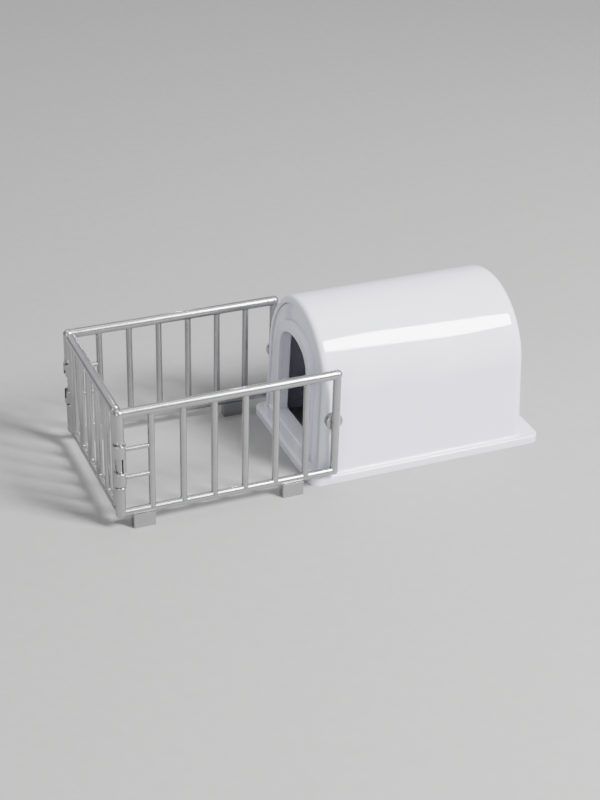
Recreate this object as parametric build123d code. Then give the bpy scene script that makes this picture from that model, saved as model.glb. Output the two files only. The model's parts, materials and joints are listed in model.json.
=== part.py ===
from build123d import *
from math import cos, radians, sin, sqrt, tan
import os

# A 1:32 scale calf hutch with its folding pen.
# Origin: on the ground, at the middle of the whole length and width.
# +X runs from the gate to the back of the hutch, +Y to the left, +Z up. Millimetres.

# ---------------------------------------------------------------- driving dimensions

# Hutch moulding
base_length = 63.7           # base flange, front edge to rear edge
flange_side = 1.2            # foot of each side wall to the flange's side edge
base_thickness = 2.2
base_corner = 2.5            # corner radius of the flange seen from above
base_edge = 0.5              # rounding along the flange's upper edge
body_width = 38.0            # outside of the side walls, measured at the ground
body_height = 41.0           # ground to ridge
side_draft = 2.0             # degrees each side wall leans in
front_draft = 1.7            # degrees the front leans back
rear_draft = 2.4             # degrees the rear wall leans in
front_step = 2.5             # flange's front edge to the foot of the front face
rear_step = 4.3              # flange's rear edge to the foot of the rear wall
wall = 1.2
front_round = 1.5            # rounding where the roof turns into the front
rear_round = 2.8             # rounding around the rear wall

# Front wall, doorway and sill
lip_width = 1.9              # shell's front return, around the front wall
groove = 0.2                 # shadow gap between the return and the front wall
front_inset = 0.5            # front wall's face behind the return's face
plate_thickness = 1.1        # front wall behind the return
plate_play = 0.15            # front wall's edge to the inside of the shell
doorway_width = 17.4
doorway_header = 9.4         # ridge down to the top of the doorway
doorway_shoulder = 5.5       # radius of the doorway's upper corners
doorway_crown = 12.0         # radius over the middle of the doorway
frame_width = 2.9            # raised band around the doorway
frame_rise = 1.5             # band stands this far in front of the front wall
frame_edge = 0.35            # rounding along the band's front
sill_rise = 4.0              # above the flange
sill_depth = 2.2             # sill stands this far in front of the front wall
sill_edge = 0.4

# Pen
pen_length = 54.5            # gate axis to pivot axis
pivot_setback = 5.5          # flange's front edge to the pivot axis
panel_rise = 27.0            # bottom rail centre to top rail centre
rail_clearance = 1.1         # underside of the bottom rails to the base flange
top_rail_diameter = 2.4
bottom_rail_diameter = 2.0
end_post_diameter = 2.1      # upright at the pivot
elbow_swell = 0.1            # a ball elbow is this much wider than the thicker rod that it joins
elbow_stub = 2.0             # corner axis to the end of the rail beside it
bar_diameter = 1.65
bar_count = 6                # upright bars in each side panel
short_bar_diameter = 1.15
foot_length = 5.45
foot_width = 2.6
foot_edge = 0.3
front_foot = 5.5             # gate axis to the middle of the front foot
rear_foot = 11.15            # pivot axis to the middle of the rear foot

# Pivot between the side panels and the hutch
peg_diameter = 2.0
peg_edge = 0.4
running_gap = 0.07           # radial play of a pin in its bore
boss_diameter = 4.0
boss_rise = 0.3              # boss's face outside the wall, at the pivot's height
pad_diameter = 4.4
pad_rise = 0.8               # pad's face inside the end post's inner side
pad_depth = 1.5
pad_edge = 0.4
face_gap = 0.13              # pad to boss

# Gate and its hinge and latch corners
knuckle_diameter = 3.25
knuckle_height = 3.45
knuckle_edge = 0.2
window_height = 4.15         # opening between the upper and the lower knuckle
corner_diameter = 2.5        # corner post above and below the knuckles
collar_diameter = 2.95
collar_height = 0.9
collar_edge = 0.3
neck_diameter = 2.0
neck_height = 0.4            # collar to knuckle
pin_diameter = 1.5
pin_depth = 1.7              # pin's length inside each knuckle
pin_end_gap = 0.3
latch_gap = 0.12             # play each side of the pin in the latch slot
web_gap = 0.28               # pin to the web behind it
web_width = 1.6
lug_thickness = 1.0
lug_height = 1.8
gate_post_diameter = 2.0
gate_post_gap = 0.35         # gate's own posts to the knuckles
gate_bar_count = 4
rail_end_gap = 0.35          # ends of the gate's rails to the corner elbows
rail_end_edge = 0.8          # rounding at the ends of the gate's rails

# ---------------------------------------------------------------- derived places

overall_length = knuckle_diameter / 2 + pen_length - pivot_setback + base_length
gate_x = -overall_length / 2 + knuckle_diameter / 2
pivot_x = gate_x + pen_length
base_front = pivot_x - pivot_setback
base_rear = base_front + base_length
body_front = base_front + front_step
body_rear = base_rear - rear_step
base_width = body_width + 2 * flange_side

low_rail = base_thickness + rail_clearance + bottom_rail_diameter / 2
high_rail = low_rail + panel_rise
rails = {low_rail: bottom_rail_diameter, high_rail: top_rail_diameter}
middle = (low_rail + high_rail) / 2

draft = radians(side_draft)
roof_radius = (body_width / 2 - body_height * tan(draft)) * cos(draft) / (1 - sin(draft))
roof_centre = body_height - roof_radius
wall_at_pivot = body_width / 2 - middle * tan(draft)
doorway_top = body_height - doorway_header
sill_top = base_thickness + sill_rise

boss_face = wall_at_pivot + boss_rise
pad_face = boss_face + face_gap
pen_y = pad_face + pad_rise + end_post_diameter / 2

window_top = middle + window_height / 2
window_bottom = middle - window_height / 2
gate_y = pen_y - knuckle_diameter / 2 - gate_post_gap - gate_post_diameter / 2
corner_elbow = max(corner_diameter, top_rail_diameter, bottom_rail_diameter) + elbow_swell
gate_rail_end = pen_y - corner_elbow / 2 - rail_end_gap
bar_pitch = pen_length / (bar_count + 1)
far = 200.0                  # longer than any piece, for cutting tools


# ---------------------------------------------------------------- shapes shared by several pieces

def rod(start, end, diameter):
    """A round bar between two points."""
    start, end = Vector(*start), Vector(*end)
    run = end - start
    return extrude(Plane(origin=start, z_dir=run) * Circle(diameter / 2), amount=run.length)


def block(x_range, y_range, z_range):
    """A box from its three ranges."""
    lows, highs = zip(x_range, y_range, z_range)
    size = [high - low for low, high in zip(lows, highs)]
    centre = [(high + low) / 2 for low, high in zip(lows, highs)]
    return Pos(*centre) * Box(*size)


def mirrored(piece):
    """The same piece on the other side of the XZ plane."""
    return mirror(piece, about=Plane.XZ)


def arch_bar(inset, bottom, start, end):
    """The hutch's cross-section, inset evenly, as a bar from x = start to x = end."""
    radius = roof_radius - inset
    foot = body_width / 2 - inset / cos(draft) - bottom * tan(draft)
    spring_y = radius * cos(draft)
    spring_z = roof_centre + radius * sin(draft)
    outline = Curve() + [
        Line((-foot, bottom), (foot, bottom)),
        Line((foot, bottom), (spring_y, spring_z)),
        ThreePointArc((spring_y, spring_z), (0, roof_centre + radius), (-spring_y, spring_z)),
        Line((-spring_y, spring_z), (-foot, bottom)),
    ]
    face = Plane.YZ.offset(start) * make_face(outline)
    return extrude(face, amount=end - start, dir=(1, 0, 0))


def front_x(depth, z):
    """A point of the leaning front, depth behind its face, at height z."""
    return body_front + depth / cos(radians(front_draft)) + z * tan(radians(front_draft))


def rear_x(depth, z):
    """A point of the leaning rear wall, depth inside its face, at height z."""
    return body_rear - depth / cos(radians(rear_draft)) - z * tan(radians(rear_draft))


def side_slab(front_edge, rear_edge):
    """Everything between two lines seen from the side; each edge gives x for a height."""
    top = body_height + 10
    corners = [(front_edge(0), 0), (rear_edge(0), 0), (rear_edge(top), top), (front_edge(top), top)]
    face = Plane.XZ * make_face(Polyline(*corners, close=True))
    return extrude(face, amount=far / 2, both=True)


def front_slab(near, deep):
    """A slice parallel to the leaning front, from one depth behind its face to another."""
    return side_slab(lambda z: front_x(near, z), lambda z: front_x(deep, z))


def end_edges(solid, at_front):
    """The edges around the leaning front or rear of a body bar, without the bottom one."""
    flat = [face for face in solid.faces() if abs(face.normal_at().X) > 0.9]
    end = sorted(flat, key=lambda face: face.center().X)[0 if at_front else -1]
    lowest = min(edge.center().Z for edge in end.edges())
    return [edge for edge in end.edges() if edge.center().Z > lowest + 0.01]


def doorway_bar(grow, bottom):
    """The doorway's outline, grown evenly, as a bar through the whole front."""
    half = doorway_width / 2 + grow
    shoulder = doorway_shoulder + grow
    crown = doorway_crown + grow
    corner_y = half - shoulder
    crown_z = doorway_top - doorway_crown
    corner_z = crown_z + sqrt((crown - shoulder) ** 2 - corner_y ** 2)
    lean = (crown - shoulder) / crown
    join_y = corner_y / lean
    join_z = crown_z + (corner_z - crown_z) / lean
    turn = radians(45)
    side_y = corner_y + shoulder * cos(turn / 2)
    side_z = corner_z + shoulder * sin(turn / 2)
    outline = Curve() + [
        Line((-half, bottom), (half, bottom)),
        Line((half, bottom), (half, corner_z)),
        ThreePointArc((half, corner_z), (side_y, side_z), (join_y, join_z)),
        ThreePointArc((join_y, join_z), (0, crown_z + crown), (-join_y, join_z)),
        ThreePointArc((-join_y, join_z), (-side_y, side_z), (-half, corner_z)),
        Line((-half, corner_z), (-half, bottom)),
    ]
    face = Plane.YZ.offset(base_front) * make_face(outline)
    return extrude(face, amount=front_step * 4, dir=(1, 0, 0))


# ---------------------------------------------------------------- hutch

def outer_body():
    """The hutch as a solid block, with its rounded front and rear."""
    body = arch_bar(0, base_thickness, body_front - 5, body_rear + 5)
    body &= side_slab(lambda z: front_x(0, z), lambda z: rear_x(0, z))
    body = fillet(end_edges(body, True), front_round)
    return fillet(end_edges(body, False), rear_round)


def pivot_bores():
    """The hole for the two pegs, right across the hutch."""
    return rod((pivot_x, -far / 2, middle), (pivot_x, far / 2, middle), peg_diameter + 2 * running_gap)


def hutch_shell():
    """Side walls, roof and rear wall in one, with a return around the open front."""
    cavity = arch_bar(wall, base_thickness, body_front - 5, body_rear + 5)
    cavity &= side_slab(lambda z: front_x(wall, z), lambda z: rear_x(wall, z))
    cavity = fillet(end_edges(cavity, False), rear_round - wall)
    mouth = arch_bar(lip_width, base_thickness, body_front - 5, body_front + 5)
    mouth &= front_slab(-2, 2 * wall)
    return outer_body() - cavity - mouth - pivot_bores()


def front_wall():
    """Snap-in front wall: a face in the shell's mouth, and a wider plate behind the return."""
    face = arch_bar(lip_width + groove, base_thickness, body_front - 5, body_front + 10)
    face &= front_slab(front_inset, wall)
    plate = arch_bar(wall + plate_play, base_thickness, body_front - 5, body_front + 10)
    plate &= front_slab(wall, wall + plate_thickness)
    return face + plate - doorway_bar(0, sill_top)


def doorway_frame():
    """Raised band around the doorway, standing on the sill."""
    band = doorway_bar(frame_width, sill_top) - doorway_bar(0, sill_top)
    band &= front_slab(front_inset - frame_rise, front_inset)
    return fillet(end_edges(band, True), frame_edge)


def door_sill():
    """Low threshold across the doorway, in front of the front wall."""
    half = doorway_width / 2 + frame_width
    bar = block((base_front, body_front + 5), (-half, half), (base_thickness, sill_top))
    bar &= front_slab(front_inset - sill_depth, front_inset)
    top_edges = bar.edges().filter_by(Axis.Y).group_by(Axis.Z)[-1]
    return fillet(top_edges.sort_by(Axis.X)[0], sill_edge)


def base_flange():
    """Flat flange around the foot of the hutch, open in the middle."""
    plate = block((base_front, base_rear), (-base_width / 2, base_width / 2), (0, base_thickness))
    plate = fillet(plate.edges().filter_by(Axis.Z), base_corner)
    plate = fillet(plate.faces().sort_by(Axis.Z)[-1].edges(), base_edge)
    half = body_width / 2 - wall / cos(draft) - base_thickness * tan(draft)
    inside_front = front_x(wall + plate_thickness, base_thickness)
    inside_rear = rear_x(wall, base_thickness)
    opening = block((inside_front, inside_rear), (-half, half), (-1, base_thickness + 1))
    rear_corners = opening.edges().filter_by(Axis.Z).group_by(Axis.X)[-1]
    return plate - fillet(rear_corners, rear_round - wall)


def pivot_bosses():
    """Round bosses that give the side walls a square face around each pivot bore."""
    right = rod((pivot_x, -boss_face, middle), (pivot_x, -boss_face + 3 * boss_rise, middle), boss_diameter)
    right -= outer_body()
    right -= pivot_bores()
    return right + mirrored(right)


# ---------------------------------------------------------------- side panels, modelled on the right

def corner_point(z):
    return (gate_x, -pen_y, z)


def ball(place, diameter):
    return Pos(*place) * Sphere(diameter / 2)


def end_post():
    """Upright at the pivot, with an elbow and a stub of rail at each end."""
    foot = (pivot_x, -pen_y, low_rail)
    head = (pivot_x, -pen_y, high_rail)
    post = rod(foot, head, end_post_diameter)
    post += ball(foot, max(end_post_diameter, bottom_rail_diameter) + elbow_swell)
    post += ball(head, max(end_post_diameter, top_rail_diameter) + elbow_swell)
    post += rod((pivot_x - elbow_stub, -pen_y, low_rail), foot, bottom_rail_diameter)
    post += rod((pivot_x - elbow_stub, -pen_y, high_rail), head, top_rail_diameter)
    return post


def side_rail(z):
    """Straight rail from the corner post's stub to the end post's stub."""
    return rod((gate_x + elbow_stub, -pen_y, z), (pivot_x - elbow_stub, -pen_y, z), rails[z])


def corner_post(rail_z, knuckle_z):
    """Ball elbow, post, flared collar and neck, from a rail to the knuckle nearest to it."""
    up = 1 if knuckle_z > rail_z else -1
    collar_end = knuckle_z - up * neck_height
    collar_start = collar_end - up * collar_height
    flare_base = Plane(origin=corner_point(collar_start), z_dir=(0, 0, up))
    flare = flare_base * Cone(
        corner_diameter / 2,
        collar_diameter / 2,
        collar_height,
        align=(Align.CENTER, Align.CENTER, Align.MIN),
    )
    rims = flare.edges().filter_by(GeomType.CIRCLE).sort_by(Axis.Z)
    flare = fillet(rims[-1 if up > 0 else 0], collar_edge)
    post = rod(corner_point(rail_z), corner_point(collar_start), corner_diameter)
    post += ball(corner_point(rail_z), max(corner_diameter, rails[rail_z]) + elbow_swell)
    post += rod(corner_point(rail_z), (gate_x + elbow_stub, -pen_y, rail_z), rails[rail_z])
    post += rod(corner_point(collar_start), corner_point(knuckle_z), neck_diameter)
    return post + flare


def knuckle(bottom):
    """One barrel of the hinge or latch."""
    barrel = rod(corner_point(bottom), corner_point(bottom + knuckle_height), knuckle_diameter)
    return fillet(barrel.edges().filter_by(GeomType.CIRCLE), knuckle_edge)


def knuckles():
    """Upper and lower knuckle with the web that joins them behind the window."""
    low = window_bottom - knuckle_edge
    high = window_top + knuckle_edge
    ring = rod(corner_point(low), corner_point(high), knuckle_diameter)
    ring -= rod(corner_point(low), corner_point(high), pin_diameter + 2 * web_gap)
    web_y = (-pen_y - web_width / 2, -pen_y + web_width / 2)
    web = ring & block((gate_x, gate_x + knuckle_diameter), web_y, (low, high))
    return knuckle(window_top) + web + knuckle(window_bottom - knuckle_height)


def pin_space(play):
    """Bore for a gate pin, with room past the pin's ends."""
    reach = window_height / 2 + pin_depth + pin_end_gap
    return rod(corner_point(middle - reach), corner_point(middle + reach), pin_diameter + 2 * play)


def hinge_barrel():
    """Knuckles of the gate's hinge."""
    return knuckles() - pin_space(running_gap)


def latch_barrel():
    """Knuckles of the gate's latch, slotted outwards so that the pin can leave."""
    reach = window_height / 2 + pin_depth + pin_end_gap
    half = pin_diameter / 2 + latch_gap
    slot = block(
        (gate_x - knuckle_diameter, gate_x),
        (-pen_y - half, -pen_y + half),
        (middle - reach, middle + reach),
    )
    return knuckles() - pin_space(latch_gap) - slot


def rails_of_panel():
    """Both rails of the right panel over their whole length, for trimming what meets them."""
    low = rod((gate_x, -pen_y, low_rail), (pivot_x, -pen_y, low_rail), bottom_rail_diameter)
    high = rod((gate_x, -pen_y, high_rail), (pivot_x, -pen_y, high_rail), top_rail_diameter)
    return low + high


def side_bars():
    """Upright bars between the rails."""
    trim = rails_of_panel()
    bars = []
    for step in range(1, bar_count + 1):
        x = gate_x + step * bar_pitch
        bars.append(rod((x, -pen_y, low_rail), (x, -pen_y, high_rail), bar_diameter) - trim)
    return bars


def short_bars():
    """Two level bars that tie the knuckles to the first upright."""
    first_bar = rod((gate_x + bar_pitch, -pen_y, 0), (gate_x + bar_pitch, -pen_y, far / 2), bar_diameter)
    post = rod(corner_point(0), corner_point(far / 2), knuckle_diameter)
    levels = (window_bottom - knuckle_height / 2, window_top + knuckle_height / 2)
    bars = []
    for z in levels:
        bar = rod((gate_x, -pen_y, z), (gate_x + bar_pitch, -pen_y, z), short_bar_diameter)
        bars.append(bar - first_bar - post)
    return bars


def panel_feet():
    """Two blocks that carry the bottom rail."""
    feet = []
    for x in (gate_x + front_foot, pivot_x - rear_foot):
        foot = block(
            (x - foot_length / 2, x + foot_length / 2),
            (-pen_y - foot_width / 2, -pen_y + foot_width / 2),
            (0, low_rail - bottom_rail_diameter / 4),
        )
        foot = fillet(foot.edges().filter_by(Axis.Z), foot_edge)
        feet.append(foot - rails_of_panel())
    return feet


def pivot_pin():
    """Round pad on the end post, and the peg that turns in the hutch's side wall."""
    pad = rod((pivot_x, -pad_face - pad_depth, middle), (pivot_x, -pad_face, middle), pad_diameter)
    pad = fillet(pad.edges().sort_by(Axis.Y)[0], pad_edge)
    pad -= rod((pivot_x, -pen_y, 0), (pivot_x, -pen_y, far / 2), end_post_diameter)
    peg_tip = wall_at_pivot - wall
    peg = rod((pivot_x, -pad_face, middle), (pivot_x, -peg_tip, middle), peg_diameter)
    peg = chamfer(peg.edges().sort_by(Axis.Y)[-1], peg_edge)
    return pad + peg


# ---------------------------------------------------------------- gate

def gate_rail(z):
    """Level rail across the gate, rounded at both ends."""
    bar = rod((gate_x, -gate_rail_end, z), (gate_x, gate_rail_end, z), rails[z])
    return fillet(bar.edges().filter_by(GeomType.CIRCLE), rail_end_edge)


def gate_upright(y, diameter):
    """Upright between the gate's rails."""
    bar = rod((gate_x, y, low_rail), (gate_x, y, high_rail), diameter)
    for z, rail_diameter in rails.items():
        bar -= rod((gate_x, -gate_y - far / 4, z), (gate_x, gate_y + far / 4, z), rail_diameter)
    return bar


def gate_bars():
    """Upright bars spread evenly between the gate's two posts."""
    pitch = 2 * gate_y / (gate_bar_count + 1)
    return [gate_upright(-gate_y + step * pitch, bar_diameter) for step in range(1, gate_bar_count + 1)]


def gate_pin():
    """Upright pin on a lug that reaches out from the gate's post."""
    reach = window_height / 2 + pin_depth
    pin = rod(corner_point(middle - reach), corner_point(middle + reach), pin_diameter)
    lug = block(
        (gate_x - lug_thickness / 2, gate_x + lug_thickness / 2),
        (-pen_y, -gate_y),
        (middle - lug_height / 2, middle + lug_height / 2),
    )
    return pin + lug - gate_upright(-gate_y, gate_post_diameter)


# ---------------------------------------------------------------- nodes

def write(name, shape):
    """Write one node; a list is a group of separate solids."""
    group = shape if isinstance(shape, list) else [shape]
    solids = [solid for item in group for solid in item.solids()]
    node = solids[0] if len(solids) == 1 else Compound(children=solids)
    node.label = name
    export_step(node, f"parts/{name}.step")


os.makedirs("parts", exist_ok=True)

write("hutch_shell", hutch_shell())
write("front_wall", front_wall())
write("doorway_frame", doorway_frame())
write("door_sill", door_sill())
write("base_flange", base_flange())
write("pivot_bosses", pivot_bosses())

side_pieces = {
    "top_rail": [side_rail(high_rail)],
    "bottom_rail": [side_rail(low_rail)],
    "end_post": [end_post()],
    "corner_post_top": [corner_post(high_rail, window_top + knuckle_height)],
    "corner_post_foot": [corner_post(low_rail, window_bottom - knuckle_height)],
    "bars": side_bars(),
    "short_bars": short_bars(),
    "feet": panel_feet(),
    "pivot_pin": [pivot_pin()],
}
for name, pieces in side_pieces.items():
    write(f"right_{name}", pieces)
    write(f"left_{name}", [mirrored(piece) for piece in pieces])
write("right_hinge_barrel", hinge_barrel())
write("left_latch_barrel", mirrored(latch_barrel()))

write("gate_top_rail", gate_rail(high_rail))
write("gate_bottom_rail", gate_rail(low_rail))
write("gate_hinge_post", gate_upright(-gate_y, gate_post_diameter))
write("gate_latch_post", gate_upright(gate_y, gate_post_diameter))
write("gate_bars", gate_bars())
write("gate_hinge_pin", gate_pin())
write("gate_latch_pin", mirrored(gate_pin()))
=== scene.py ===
"""Looks of a 1:32 scale calf hutch with its folding pen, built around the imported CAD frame."""
import json
from math import cos, pi, radians, sin, sqrt

import bmesh
import bpy
from mathutils import Matrix, Vector

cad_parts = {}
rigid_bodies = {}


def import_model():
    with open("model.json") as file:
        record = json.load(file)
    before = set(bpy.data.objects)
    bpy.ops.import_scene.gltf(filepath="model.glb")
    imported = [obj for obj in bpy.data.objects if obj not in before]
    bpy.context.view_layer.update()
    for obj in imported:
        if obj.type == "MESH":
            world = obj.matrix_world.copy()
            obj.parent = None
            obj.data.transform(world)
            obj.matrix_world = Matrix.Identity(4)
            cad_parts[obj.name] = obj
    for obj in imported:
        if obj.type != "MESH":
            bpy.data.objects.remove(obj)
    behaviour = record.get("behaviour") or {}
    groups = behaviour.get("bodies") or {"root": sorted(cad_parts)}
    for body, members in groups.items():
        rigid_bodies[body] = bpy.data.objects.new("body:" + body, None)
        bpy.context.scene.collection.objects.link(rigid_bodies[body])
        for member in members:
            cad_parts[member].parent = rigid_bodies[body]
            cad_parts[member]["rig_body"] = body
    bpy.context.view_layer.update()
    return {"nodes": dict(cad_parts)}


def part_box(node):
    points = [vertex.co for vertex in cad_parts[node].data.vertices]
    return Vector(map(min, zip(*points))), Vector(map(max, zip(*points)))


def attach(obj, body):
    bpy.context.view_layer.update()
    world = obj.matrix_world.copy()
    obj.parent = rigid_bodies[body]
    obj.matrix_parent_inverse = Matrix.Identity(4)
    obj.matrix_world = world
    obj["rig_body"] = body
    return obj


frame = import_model()

MM = 0.001
X, Y, Z = range(3)           # axes by number
SIDES = ("right", "left")
PANEL_BARS = 6               # uprights of a side panel
GATE_BARS = 4


# ---------------------------------------------------------------- material helpers

def material(name):
    """A new node material; returns it with its node tree and its Principled shader."""
    made = bpy.data.materials.new(name)
    made.use_nodes = True
    tree = made.node_tree
    shader = next(node for node in tree.nodes if node.type == "BSDF_PRINCIPLED")
    return made, tree, shader


def add_node(tree, kind, **settings):
    """A node with its settings made; each is the name of an input or of a property."""
    node = tree.nodes.new(kind)
    for key, value in settings.items():
        if key in node.inputs:
            node.inputs[key].default_value = value
        else:
            setattr(node, key, value)
    return node


def object_coordinates(tree):
    return add_node(tree, "ShaderNodeTexCoord").outputs["Object"]


def noise(tree, coordinates, scale, detail):
    node = add_node(tree, "ShaderNodeTexNoise", Scale=scale, Detail=detail)
    tree.links.new(coordinates, node.inputs["Vector"])
    return node.outputs["Fac"]


def ramp(tree, value, stops):
    """Maps a value between two colour stops, each (position, colour)."""
    node = tree.nodes.new("ShaderNodeValToRGB")
    for element, (position, colour) in zip(node.color_ramp.elements, stops):
        element.position = position
        element.color = (*colour, 1.0)
    tree.links.new(value, node.inputs["Fac"])
    return node.outputs["Color"]


def grey(level):
    return (level, level, level)


def mix(tree, factor, first, second):
    """The first colour where the factor is 0, and the second where it is 1."""
    node = add_node(tree, "ShaderNodeMix", data_type="RGBA")
    sockets = {socket.identifier: socket for socket in node.inputs}
    tree.links.new(factor, sockets["Factor_Float"])
    tree.links.new(first, sockets["A_Color"])
    tree.links.new(second, sockets["B_Color"])
    return next(socket for socket in node.outputs if socket.identifier == "Result_Color")


EDGE_FULL = 0.90             # agreement of the rounded and the plain normal where the edge mask is 1
EDGE_NONE = 0.995            # agreement where it is 0


def soft_edges(tree, radius):
    """The normal with its edges rounded, and a mask that is 1 along them."""
    rounded = add_node(tree, "ShaderNodeBevel", samples=6, Radius=radius).outputs["Normal"]
    plain = add_node(tree, "ShaderNodeNewGeometry").outputs["Normal"]
    agreement = add_node(tree, "ShaderNodeVectorMath", operation="DOT_PRODUCT")
    tree.links.new(rounded, agreement.inputs[0])
    tree.links.new(plain, agreement.inputs[1])
    stops = [(EDGE_FULL, grey(1.0)), (EDGE_NONE, grey(0.0))]
    return rounded, ramp(tree, agreement.outputs["Value"], stops)


def bump(tree, normal, layers):
    """Chains bumps over a normal, each (height, strength, distance), and returns the last one."""
    for height, strength, distance in layers:
        node = add_node(tree, "ShaderNodeBump", Strength=strength, Distance=distance)
        tree.links.new(height, node.inputs["Height"])
        tree.links.new(normal, node.inputs["Normal"])
        normal = node.outputs["Normal"]
    return normal


# ---------------------------------------------------------------- materials

def hutch_plastic():
    """Glossy white moulded plastic, faintly lavender, with the slow waviness of a thin moulding."""
    made, tree, shader = material("hutch_plastic")
    place = object_coordinates(tree)
    rounded, edges = soft_edges(tree, radius=0.25 * MM)
    scuffs = noise(tree, place, scale=900, detail=3)
    cloud = noise(tree, place, scale=60, detail=3)
    cast = ramp(tree, cloud, [(0.35, (0.67, 0.665, 0.76)), (0.7, (0.71, 0.705, 0.80))])
    rubbed = ramp(tree, scuffs, [(0.3, (0.70, 0.70, 0.72)), (0.7, (0.86, 0.86, 0.88))])
    tree.links.new(mix(tree, edges, cast, rubbed), shader.inputs["Base Color"])
    polish = noise(tree, place, scale=180, detail=4)
    gloss = ramp(tree, polish, [(0.3, grey(0.045)), (0.75, grey(0.08))])
    handled = ramp(tree, scuffs, [(0.3, grey(0.16)), (0.75, grey(0.26))])
    tree.links.new(mix(tree, edges, gloss, handled), shader.inputs["Roughness"])
    sink = noise(tree, place, scale=38, detail=1)
    grain = noise(tree, place, scale=2600, detail=2)
    layers = [(sink, 0.05, 0.3 * MM), (grain, 0.02, 0.02 * MM)]
    tree.links.new(bump(tree, rounded, layers), shader.inputs["Normal"])
    shader.inputs["IOR"].default_value = 1.52
    return made


def pen_paint():
    """Satin silver paint on moulded plastic, darker where handling has rubbed the edges."""
    made, tree, shader = material("pen_paint")
    place = object_coordinates(tree)
    rounded, edges = soft_edges(tree, radius=0.12 * MM)
    cloud = noise(tree, place, scale=150, detail=3)
    coat = ramp(tree, cloud, [(0.35, (0.345, 0.345, 0.35)), (0.7, (0.39, 0.39, 0.395))])
    scuffs = noise(tree, place, scale=1200, detail=3)
    rubbed = ramp(tree, scuffs, [(0.35, (0.22, 0.22, 0.23)), (0.7, (0.36, 0.36, 0.365))])
    tree.links.new(mix(tree, edges, coat, rubbed), shader.inputs["Base Color"])
    polish = noise(tree, place, scale=320, detail=3)
    gloss = ramp(tree, polish, [(0.3, grey(0.20)), (0.75, grey(0.26))])
    tree.links.new(gloss, shader.inputs["Roughness"])
    flow = noise(tree, place, scale=260, detail=2)
    flakes = noise(tree, place, scale=9000, detail=1)
    layers = [(flow, 0.05, 0.05 * MM), (flakes, 0.01, 0.01 * MM)]
    tree.links.new(bump(tree, rounded, layers), shader.inputs["Normal"])
    shader.inputs["Metallic"].default_value = 0.88
    shader.inputs["Coat Weight"].default_value = 0.25
    shader.inputs["Coat Roughness"].default_value = 0.12
    return made


def floor_material():
    """Plain grey paper."""
    made, tree, shader = material("floor")
    fibres = noise(tree, object_coordinates(tree), scale=300, detail=4)
    paper = ramp(tree, fibres, [(0.3, (0.27, 0.27, 0.265)), (0.7, (0.285, 0.285, 0.28))])
    tree.links.new(paper, shader.inputs["Base Color"])
    shader.inputs["Roughness"].default_value = 0.8
    return made


HUTCH = hutch_plastic()
PAINT = pen_paint()

for node in frame["nodes"].values():
    node.data.materials.clear()
    node.data.materials.append(HUTCH if node["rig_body"] == "hutch" else PAINT)


# ---------------------------------------------------------------- shape helpers

def new_piece(name, mesh, body, finish):
    """Turns a bmesh into a smooth piece that rides on a CAD body."""
    bmesh.ops.recalc_face_normals(mesh, faces=mesh.faces)
    data = bpy.data.meshes.new(name)
    mesh.to_mesh(data)
    mesh.free()
    for face in data.polygons:
        face.use_smooth = True
    data.materials.append(finish)
    piece = bpy.data.objects.new(name, data)
    bpy.context.scene.collection.objects.link(piece)
    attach(piece, body)


def skin(mesh, rings, closed):
    """Joins equal rings of points into a tube; an open tube gets a cap at each end."""
    rows = [[mesh.verts.new(point) for point in ring] for ring in rings]
    count = len(rows[0])
    spans = len(rows) if closed else len(rows) - 1
    for row in range(spans):
        here, after = rows[row], rows[(row + 1) % len(rows)]
        for step in range(count):
            beside = (step + 1) % count
            mesh.faces.new((here[step], here[beside], after[beside], after[step]))
    if not closed:
        mesh.faces.new(rows[0])
        mesh.faces.new(list(reversed(rows[-1])))


def centre(name):
    low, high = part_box(name)
    return (low + high) / 2


def thickness(name, axis):
    low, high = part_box(name)
    return high[axis] - low[axis]


def spread(first, last, count):
    return [first + (last - first) * step / (count - 1) for step in range(count)]


def concave_arc(radius, steps):
    """Quarter arc in a corner, from the floor at (radius, 0) to the wall at (0, radius)."""
    turns = [pi / 2 * step / steps for step in range(steps + 1)]
    return [(radius * (1 - sin(turn)), radius * (1 - cos(turn))) for turn in turns]


# ---------------------------------------------------------------- fillets at the bars' ends

ROOT_FILLET = 0.30 * MM      # moulded radius where a bar runs into a rail
ROOT_SINK = 0.02 * MM        # how far its edges lie inside the bar and the rail
ROOT_BORE = 0.8              # its hidden inner wall, as a share of the bar's radius
ROOT_REACH = 0.97            # widest it spreads across a rail, as a share of the rail's radius
ROOT_STEPS = 4
ROOT_SIDES = 28


def root_profile(bar_radius):
    """Section of a fillet: (distance from the bar's axis, height over the rail's surface)."""
    arc = concave_arc(ROOT_FILLET, ROOT_STEPS)
    curve = [(bar_radius + out - ROOT_SINK, up - ROOT_SINK) for out, up in arc]
    bore = ROOT_BORE * bar_radius
    return curve + [(bore, ROOT_FILLET), (bore, -ROOT_FILLET)]


def root_fillet(mesh, bar, bar_radius, rail, across, up):
    """Concave ring where an upright at (x, y) meets a level rail; across is the axis square to both."""
    rail_height = centre(rail).z
    rail_radius = thickness(rail, Z) / 2
    widest = ROOT_REACH * rail_radius
    rings = []
    for step in range(ROOT_SIDES):
        turn = 2 * pi * step / ROOT_SIDES
        ring = []
        for reach, lift in root_profile(bar_radius):
            offset = [reach * cos(turn), reach * sin(turn)]
            offset[across] = max(-widest, min(widest, offset[across]))
            crown = sqrt(rail_radius ** 2 - offset[across] ** 2)
            height = rail_height + up * (crown + lift)
            ring.append((bar[X] + offset[X], bar[Y] + offset[Y], height))
        rings.append(ring)
    skin(mesh, rings, closed=True)


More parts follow.
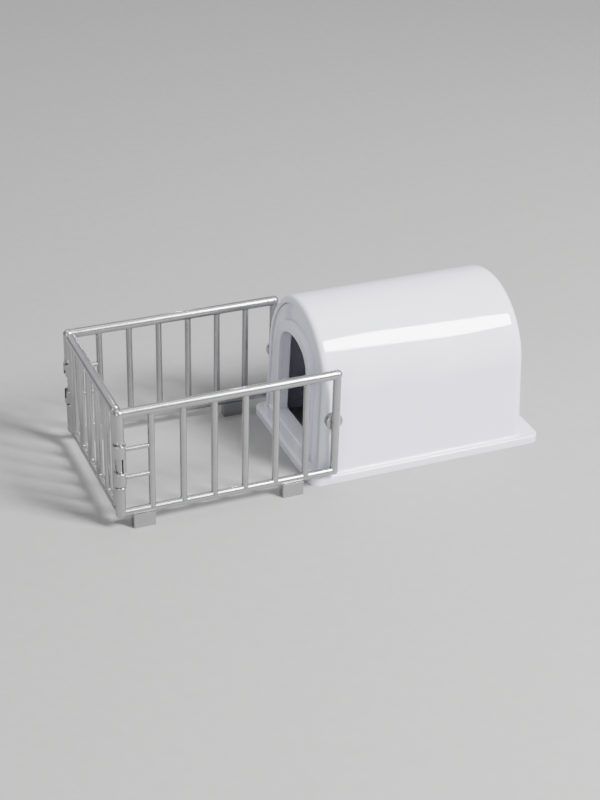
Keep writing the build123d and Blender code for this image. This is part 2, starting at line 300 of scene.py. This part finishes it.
def root_fillets(prefix, body, bar_count, along):
    """Fillets at both ends of a fence's bars; along is the axis that its rails follow."""
    across = 1 - along
    node = f"{prefix}_bars"
    radius = thickness(node, across) / 2
    low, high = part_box(node)
    mesh = bmesh.new()
    for place in spread(low[along] + radius, high[along] - radius, bar_count):
        bar = centre(node)
        bar[along] = place
        root_fillet(mesh, bar, radius, f"{prefix}_top_rail", across, up=-1)
        root_fillet(mesh, bar, radius, f"{prefix}_bottom_rail", across, up=1)
    new_piece(f"{prefix}_root_fillets", mesh, body, PAINT)


# ---------------------------------------------------------------- parting lines of the rails

SEAM_HALF = 0.07 * MM        # half the width of a mould's parting line
SEAM_RISE = 0.035 * MM       # how far it stands out of the rail, and how far its edges lie inside
GATE_SEAM_MARGIN = 0.9 * MM  # how far short of the rails' ends the gate's lines stop


def parting_line(mesh, rail, along, margin, outward):
    """Fine raised line along a rail: on its top where outward is 1, on its underside where it is -1."""
    low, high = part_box(rail)
    radius = thickness(rail, Z) / 2
    section = [
        (-SEAM_HALF, -SEAM_RISE),
        (-SEAM_HALF / 2, SEAM_RISE),
        (SEAM_HALF / 2, SEAM_RISE),
        (SEAM_HALF, -SEAM_RISE),
    ]
    rings = []
    for place in (low[along] + margin, high[along] - margin):
        ring = []
        for offset, rise in section:
            point = centre(rail)
            point[along] = place
            point[1 - along] += offset
            point.z += outward * (radius + rise)
            ring.append(point)
        rings.append(ring)
    skin(mesh, rings, closed=False)


def parting_lines(prefix, body, along, margin):
    """Parting lines of a fence's two rails."""
    mesh = bmesh.new()
    for level in ("top", "bottom"):
        for outward in (1, -1):
            parting_line(mesh, f"{prefix}_{level}_rail", along, margin, outward)
    new_piece(f"{prefix}_parting_lines", mesh, body, PAINT)


# ---------------------------------------------------------------- cove at the foot of the walls

COVE = 0.60 * MM             # moulded radius between the hutch's walls and its flange
COVE_TOP_SINK = 0.03 * MM    # how far the top of its arc lies inside the wall
COVE_FOOT_SINK = 0.02 * MM   # how far the foot of its arc lies inside the flange
COVE_BACK = 0.12 * MM        # how far its back lies inside the wall
COVE_BASE = 0.06 * MM        # how far its underside lies inside the flange
COVE_STEPS = 6
FRONT_CORNER = 1.5 * MM      # radius of the walls' front corners seen from above
REAR_CORNER = 2.8 * MM
RETURN_WIDTH = 1.9 * MM      # shell's front return beside the front wall
CORNER_STEPS = 8


def cove_profile():
    """Section of the cove: (distance out from the wall, height over the flange)."""
    arc = concave_arc(COVE, COVE_STEPS)
    curve = [(out - COVE_TOP_SINK, up - COVE_FOOT_SINK) for out, up in arc]
    return curve + [(-COVE_BACK, COVE), (-COVE_BACK, -COVE_BASE), (COVE, -COVE_BASE)]


def foot_outline():
    """The foot of the walls from one front return round the rear to the other: (point, outward)."""
    low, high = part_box("hutch_shell")
    half = high.y
    corners = [
        (low.x + FRONT_CORNER, FRONT_CORNER - half, FRONT_CORNER, 180),
        (high.x - REAR_CORNER, REAR_CORNER - half, REAR_CORNER, 270),
        (high.x - REAR_CORNER, half - REAR_CORNER, REAR_CORNER, 0),
        (low.x + FRONT_CORNER, half - FRONT_CORNER, FRONT_CORNER, 90),
    ]
    path = [((low.x, RETURN_WIDTH - half), (-1, 0))]
    for x, y, radius, start in corners:
        for step in range(CORNER_STEPS + 1):
            turn = radians(start + 90 * step / CORNER_STEPS)
            outward = (cos(turn), sin(turn))
            path.append(((x + radius * outward[X], y + radius * outward[Y]), outward))
    path.append(((low.x, half - RETURN_WIDTH), (-1, 0)))
    return path


def foot_cove():
    """Concave moulded radius that runs the walls into the flange."""
    flange_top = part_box("base_flange")[1].z
    rings = []
    for (x, y), outward in foot_outline():
        ring = []
        for reach, height in cove_profile():
            ring.append((x + reach * outward[X], y + reach * outward[Y], flange_top + height))
        rings.append(ring)
    mesh = bmesh.new()
    skin(mesh, rings, closed=False)
    new_piece("foot_cove", mesh, "hutch", HUTCH)


for side in SIDES:
    root_fillets(side, f"{side}_panel", PANEL_BARS, along=X)
    parting_lines(side, f"{side}_panel", along=X, margin=0)
root_fillets("gate", "gate", GATE_BARS, along=Y)
parting_lines("gate", "gate", along=Y, margin=GATE_SEAM_MARGIN)
foot_cove()


# ---------------------------------------------------------------- floor, light and camera

FLOOR_SIZE = 4.0
MIDDLE = (0, 0, 0.02)                        # about the middle of the whole object
RIGHT_PANEL = (-0.03, -0.02, 0.02)           # about the middle of the right side panel
SHOULDER = Vector((0.024, -0.014, 0.035))    # on the roof's right shoulder
KEY_DIRECTION = Vector((0.41, -0.57, 0.71))  # from the shoulder to the key light
KEY_DISTANCE = 0.6


def floor():
    bpy.ops.mesh.primitive_plane_add(size=FLOOR_SIZE, location=(0, 0, 0))
    plane = bpy.context.object
    plane.name = "floor"
    plane.data.materials.append(floor_material())


def area_light(name, place, target, width, height, watts, roll=0):
    """A rectangular soft light that faces a point, rolled about its own axis by some degrees."""
    data = bpy.data.lights.new(name, "AREA")
    data.shape = "RECTANGLE"
    data.size = width
    data.size_y = height
    data.energy = watts
    lamp = bpy.data.objects.new(name, data)
    lamp.location = place
    lamp.rotation_euler = (Vector(target) - Vector(place)).to_track_quat("-Z", "Y").to_euler()
    lamp.rotation_euler.rotate_axis("Z", radians(roll))
    bpy.context.scene.collection.objects.link(lamp)


def room_light():
    """Even, slightly cool light from all round."""
    world = bpy.data.worlds.new("studio")
    bpy.context.scene.world = world
    world.use_nodes = True
    background = world.node_tree.nodes["Background"]
    background.inputs["Color"].default_value = (0.93, 0.94, 1.0, 1)
    background.inputs["Strength"].default_value = 0.36


def studio():
    """Room light, a softbox for the roof's highlight, a top and a back light, and a strip for the bars."""
    room_light()
    key_place = SHOULDER + KEY_DISTANCE * KEY_DIRECTION
    area_light("key", key_place, SHOULDER, width=0.15, height=0.26, watts=15.0, roll=14)
    area_light("top", (-0.1, 0.15, 0.9), MIDDLE, width=0.8, height=0.8, watts=4.2)
    area_light("back", (-0.1, 0.9, 0.4), MIDDLE, width=0.9, height=0.5, watts=1.0)
    area_light("strip", (-0.55, -0.50, 0.22), RIGHT_PANEL, width=0.12, height=0.5, watts=2.2)


def camera():
    """The photograph's viewpoint: yaw from +Y towards +X, pitch below level, and a slight roll."""
    yaw, pitch, roll = radians(23.139), radians(30.119), radians(1.576)
    data = bpy.data.cameras.new("camera")
    data.sensor_width = 36.0
    data.lens = 79.09
    data.clip_start = 0.01
    view = bpy.data.objects.new("camera", data)
    turn = Matrix.Rotation(-yaw, 4, "Z") @ Matrix.Rotation(radians(90) - pitch, 4, "X")
    place = Matrix.Translation((-0.15266, -0.35314, 0.23592))
    view.matrix_world = place @ turn @ Matrix.Rotation(roll, 4, "Z")
    bpy.context.scene.collection.objects.link(view)
    bpy.context.scene.camera = view


floor()
studio()
camera()
